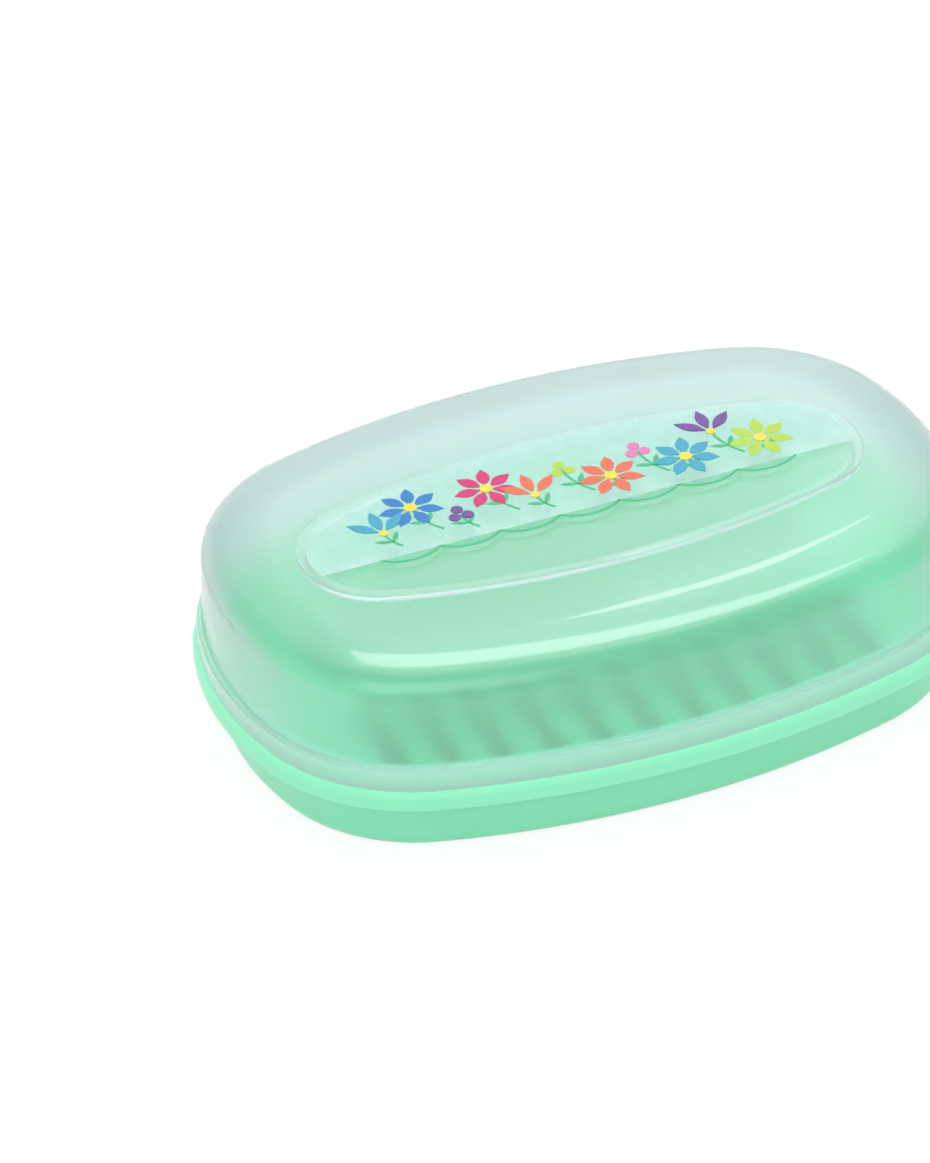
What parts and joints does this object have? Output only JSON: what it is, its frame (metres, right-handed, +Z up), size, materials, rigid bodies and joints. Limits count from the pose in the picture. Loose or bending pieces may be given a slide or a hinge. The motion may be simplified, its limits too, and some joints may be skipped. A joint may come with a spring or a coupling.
{
  "type": "covered soap dish",
  "caption": "Oval soap dish with a water tray, a slotted drainer with a locating collar, and a translucent lift-off cover with a raised oval panel.",
  "frame": {"origin": "centre of the underside, on the plane that the dish stands on", "axes": "+X along the length, +Y across the width, +Z up, the way the cover lifts off"},
  "size_m": [0.13, 0.088, 0.0361],
  "materials": {
    "mint_plastic": "smooth opaque mint-green moulded plastic",
    "mint_plastic_light": "smooth opaque mint-green moulded plastic",
    "clear_plastic": "glossy translucent moulded plastic, slightly bluish, with a printed flower border"
  },
  "bodies": {
    "dish": {"water_tray": "mint_plastic", "drainer": "mint_plastic_light"},
    "cover": {"cover": "clear_plastic"}
  },
  "joints": [
    {"name": "cover_lift", "type": "slide", "parent": "dish", "child": "cover", "axis": [0, 0, 1], "range_m": [0, 0.045]}
  ]
}
